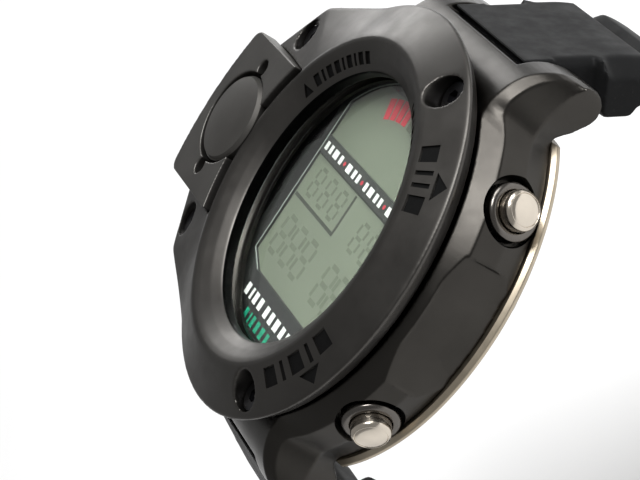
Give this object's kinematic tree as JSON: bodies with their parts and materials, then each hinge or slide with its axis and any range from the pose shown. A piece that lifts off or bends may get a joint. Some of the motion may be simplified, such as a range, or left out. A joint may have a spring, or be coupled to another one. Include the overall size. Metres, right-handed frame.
{
  "type": "wrist dive computer",
  "caption": "Wrist dive computer: round metal case with a side pressure sensor under a guard, LCD, push buttons, and a ribbed rubber strap with a tang buckle.",
  "frame": {"origin": "centre of the case back's flat outer face", "axes": "+Z out of the dial, +Y to 12 o'clock, +X to 3 o'clock"},
  "size_m": [0.0582, 0.0685, 0.0827],
  "materials": {
    "titanium_case": "satin dark grey hard-coated titanium",
    "titanium_bezel": "bead-blasted dark grey hard-coated titanium",
    "sensor_metal": "fine matt dark grey",
    "champagne_steel": "polished, warm tint",
    "collar_steel": "turned, satin",
    "bright_steel": "bright steel",
    "black_screw": "blackened steel",
    "crystal_glass": "mineral glass",
    "seal_rubber": "black nitrile",
    "mask_print": "dark printed film with white, red and green marks",
    "lcd_glass": "pale grey-green display",
    "backlight_film": "white film",
    "module_plastic": "ivory moulded plastic",
    "board_laminate": "green glass laminate",
    "chip_resin": "black resin",
    "spring_brass": "bright brass",
    "strap_rubber": "matt black moulded rubber",
    "buckle_steel": "satin dark steel"
  },
  "bodies": {
    "case": {"case_body": "titanium_case", "case_back": "champagne_steel", "back_gasket": "seal_rubber", "back_screws": "bright_steel", "bezel": "titanium_bezel", "bezel_screws": "black_screw", "crystal": "crystal_glass", "crystal_gasket": "seal_rubber", "sensor_guard": "titanium_bezel", "sensor_cap": "sensor_metal", "sensor_body": "bright_steel", "sensor_seal": "seal_rubber", "sensor_leads": "spring_brass", "dial_mask": "mask_print", "lcd_panel": "lcd_glass", "backlight_panel": "backlight_film", "module_frame": "module_plastic", "circuit_board": "board_laminate", "processor_chip": "chip_resin", "battery": "bright_steel", "battery_clamp": "spring_brass", "alarm_disc": "spring_brass", "button_tube_upper": "collar_steel", "button_spring_upper": "bright_steel", "button_tube_lower": "collar_steel", "button_spring_lower": "bright_steel", "spring_bar_upper": "bright_steel", "spring_bar_lower": "bright_steel"},
    "button_upper_body": {"button_upper": "champagne_steel", "button_seal_upper": "seal_rubber", "button_clip_upper": "bright_steel"},
    "button_lower_body": {"button_lower": "champagne_steel", "button_seal_lower": "seal_rubber", "button_clip_lower": "bright_steel"},
    "strap_upper_body": {"strap_upper": "strap_rubber"},
    "strap_lower_body": {"strap_lower": "strap_rubber"},
    "keeper_body": {"strap_keeper": "strap_rubber"},
    "buckle_body": {"buckle_frame": "buckle_steel", "buckle_bar": "buckle_steel"},
    "tongue_body": {"buckle_tongue": "buckle_steel"}
  },
  "joints": [
    {"name": "button_upper_press", "type": "slide", "parent": "case", "child": "button_upper_body", "axis": [-0.8536, -0.521, 0], "range_m": [0, 0.0012], "stiffness_N_per_m": 600, "springref_m": -0.0008, "deforming": ["button_spring_upper"]},
    {"name": "button_lower_press", "type": "slide", "parent": "case", "child": "button_lower_body", "axis": [-0.8536, 0.521, 0], "range_m": [0, 0.0012], "stiffness_N_per_m": 600, "springref_m": -0.0008, "deforming": ["button_spring_lower"]},
    {"name": "strap_upper_hinge", "type": "hinge", "parent": "case", "child": "strap_upper_body", "pos_m": [0, 0.024, 0.0046], "axis": [-1, 0, 0], "range_deg": [0, 8]},
    {"name": "strap_lower_hinge", "type": "hinge", "parent": "case", "child": "strap_lower_body", "pos_m": [0, -0.024, 0.0046], "axis": [1, 0, 0], "range_deg": [0, 8]},
    {"name": "keeper_slide", "type": "hinge", "parent": "strap_upper_body", "child": "keeper_body", "pos_m": [0, 0.00623, -0.03887], "axis": [1, 0, 0], "range_deg": [-9, 14]},
    {"name": "buckle_hinge", "type": "hinge", "parent": "strap_upper_body", "child": "buckle_body", "pos_m": [0, -0.00377, -0.06287], "axis": [-1, 0, 0], "range_deg": [-60, 10]},
    {"name": "tongue_hinge", "type": "hinge", "parent": "buckle_body", "child": "tongue_body", "pos_m": [0, -0.00377, -0.06287], "axis": [1, 0, 0], "range_deg": [0, 100]}
  ]
}
